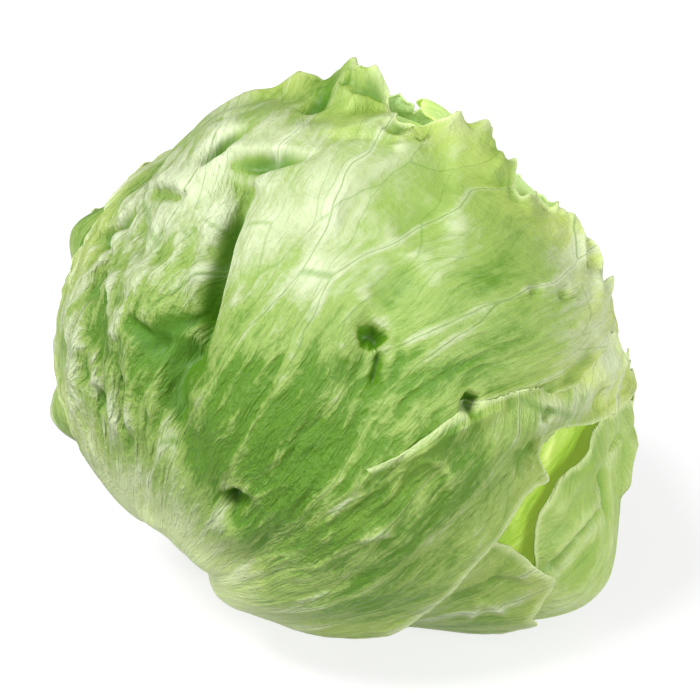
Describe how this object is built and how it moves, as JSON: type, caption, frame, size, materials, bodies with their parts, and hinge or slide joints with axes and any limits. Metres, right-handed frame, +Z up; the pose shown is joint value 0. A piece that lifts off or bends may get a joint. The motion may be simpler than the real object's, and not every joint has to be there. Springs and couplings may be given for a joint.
{
  "type": "iceberg lettuce head",
  "caption": "Whole iceberg lettuce lying tilted on its side: a dense heart wrapped in overlapping waved leaves, with a short cut stem low at its left end.",
  "frame": {"origin": "on the surface the head lies on, straight under the head's centre, in the middle of the flat spot it rests on", "axes": "+Z up; +X is to the right and +Y away in a front view; the head's axis runs from its low cut stem, at -X and a little -Y, up to its crown, at +X and a little +Y"},
  "size_m": [0.1889, 0.1887, 0.1778],
  "materials": {
    "heart_leaf": "pale yellow-green leaf, waxy",
    "wrapper_leaf": "mid-green leaf, waxy",
    "cut_stem": "cream cut stem, matt"
  },
  "bodies": {
    "root": {"heart": "heart_leaf", "stem": "cut_stem", "inner_leaf_1": "heart_leaf", "inner_leaf_2": "heart_leaf", "crown_leaf": "wrapper_leaf", "flap_leaf": "wrapper_leaf", "left_leaf": "wrapper_leaf", "front_leaf": "wrapper_leaf", "bottom_leaf": "wrapper_leaf", "right_leaf": "wrapper_leaf", "back_leaf": "wrapper_leaf"}
  },
  "joints": []
}
